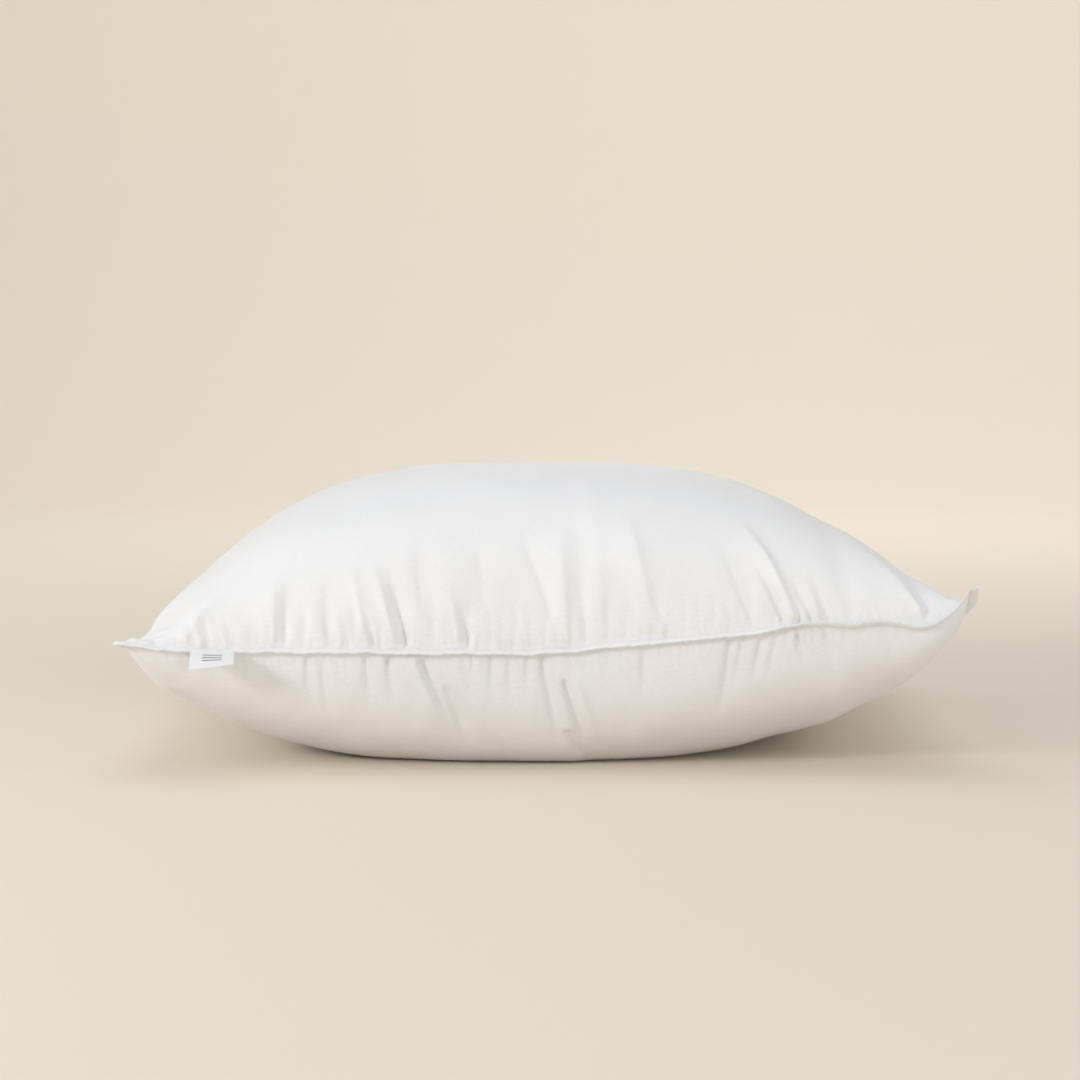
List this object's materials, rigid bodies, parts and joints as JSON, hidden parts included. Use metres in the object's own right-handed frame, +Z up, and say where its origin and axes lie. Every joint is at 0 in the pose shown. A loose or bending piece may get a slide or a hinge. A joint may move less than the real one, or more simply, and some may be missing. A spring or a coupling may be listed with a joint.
{
  "type": "bed pillow",
  "caption": "Plump rectangular bed pillow with a flat topstitched edge, one curled ear and a folded side label.",
  "frame": {"origin": "middle of the flat underside that the pillow lies on", "axes": "+Z up, +X along the front long edge to the right, +Y towards the back long edge"},
  "size_m": [0.6254, 0.4959, 0.2203],
  "materials": {
    "cover": "satin",
    "thread": "satin",
    "filling": "matte",
    "label": "satin",
    "label_print": "matte"
  },
  "bodies": {
    "pillow": {"top_panel": "cover", "bottom_panel": "cover", "fill": "filling", "topstitch_upper_thread": "thread", "topstitch_lower_thread": "thread", "joining_thread": "thread", "closing_thread": "thread", "label_sewn_end": "label"},
    "label": {"side_label": "label", "label_mark": "label_print"}
  },
  "joints": [
    {"name": "label_flap", "type": "hinge", "parent": "pillow", "child": "label", "pos_m": [-0.24065, -0.23162, 0.09549], "axis": [0.9939, 0.0992, -0.049], "range_deg": [-70, 50]}
  ]
}
